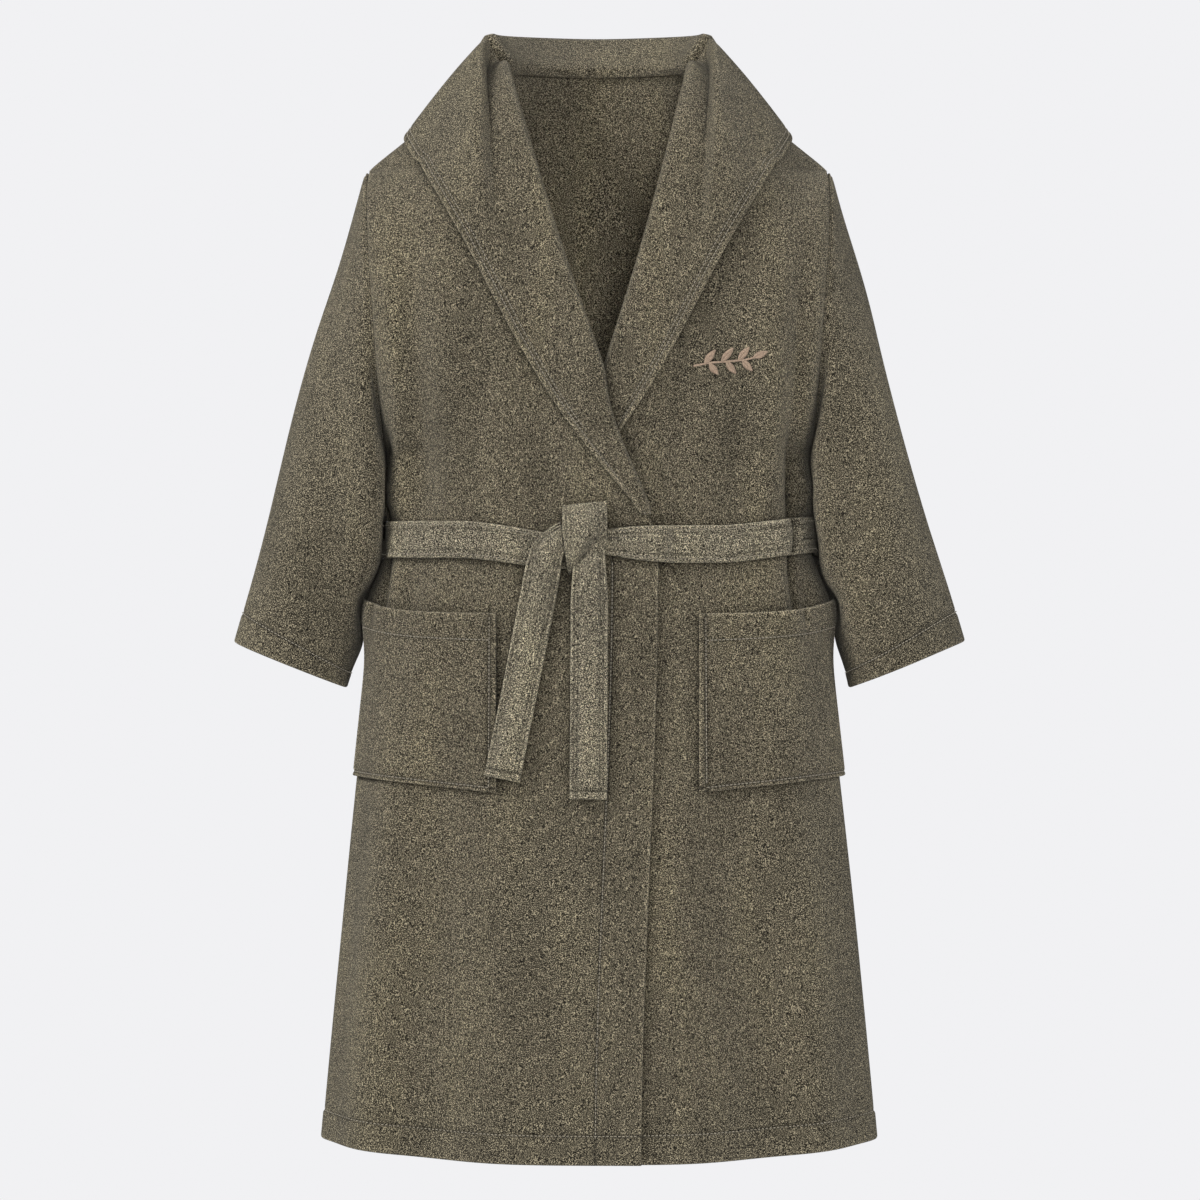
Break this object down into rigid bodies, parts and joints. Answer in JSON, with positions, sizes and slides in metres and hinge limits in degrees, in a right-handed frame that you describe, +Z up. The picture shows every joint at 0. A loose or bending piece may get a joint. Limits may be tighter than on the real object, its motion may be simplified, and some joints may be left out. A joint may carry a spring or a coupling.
{
  "type": "bathrobe",
  "caption": "Long shawl-collared terry bathrobe, wrapped and tied with a belt at the waist, with patch pockets, wide straight sleeves and a hang loop.",
  "frame": {"origin": "middle of the hang loop, outside the back neck, under the collar fall", "axes": "+Z up, -Y is the wearer's front, +X is the wearer's left"},
  "size_m": [0.789, 0.2256, 1.2071],
  "materials": {
    "terry": "cotton terry towelling, olive-brown, loop pile on both faces",
    "terry_belt": "cotton terry towelling, doubled and topstitched along both edges",
    "terry_strap": "narrow folded strip of the same cloth",
    "thread": "beige satin-stitch embroidery thread"
  },
  "bodies": {
    "robe": {"back_panel": "terry", "back_hem": "terry", "collar_stand": "terry", "collar_fall": "terry", "belt": "terry_belt", "belt_knot": "terry_belt", "hang_loop": "terry_strap", "chest_embroidery": "thread", "right_front": "terry", "right_facing": "terry", "right_front_hem": "terry", "right_lapel": "terry", "right_pocket": "terry", "right_pocket_hem": "terry", "right_belt_loop": "terry_strap", "left_front": "terry", "left_facing": "terry", "left_front_hem": "terry", "left_lapel": "terry", "left_pocket": "terry", "left_pocket_hem": "terry", "left_belt_loop": "terry_strap"},
    "right_sleeve": {"right_sleeve": "terry", "right_cuff_hem": "terry"},
    "left_sleeve": {"left_sleeve": "terry", "left_cuff_hem": "terry"},
    "right_belt_tail": {"right_belt_tail": "terry_belt"},
    "left_belt_tail": {"left_belt_tail": "terry_belt"}
  },
  "joints": [
    {"name": "right_sleeve_lift", "type": "hinge", "parent": "robe", "child": "right_sleeve", "pos_m": [-0.25, -0.0896, -0.0995], "axis": [0, 1, 0], "range_deg": [0, 65]},
    {"name": "left_sleeve_lift", "type": "hinge", "parent": "robe", "child": "left_sleeve", "pos_m": [0.25, -0.0896, -0.0995], "axis": [0, -1, 0], "range_deg": [0, 65]},
    {"name": "right_tail_swing", "type": "hinge", "parent": "robe", "child": "right_belt_tail", "pos_m": [-0.0367, -0.189, -0.5352], "axis": [-1, 0, 0], "range_deg": [0, 70]},
    {"name": "left_tail_swing", "type": "hinge", "parent": "robe", "child": "left_belt_tail", "pos_m": [0.0063, -0.1898, -0.5352], "axis": [-1, 0, 0], "range_deg": [0, 70]}
  ]
}
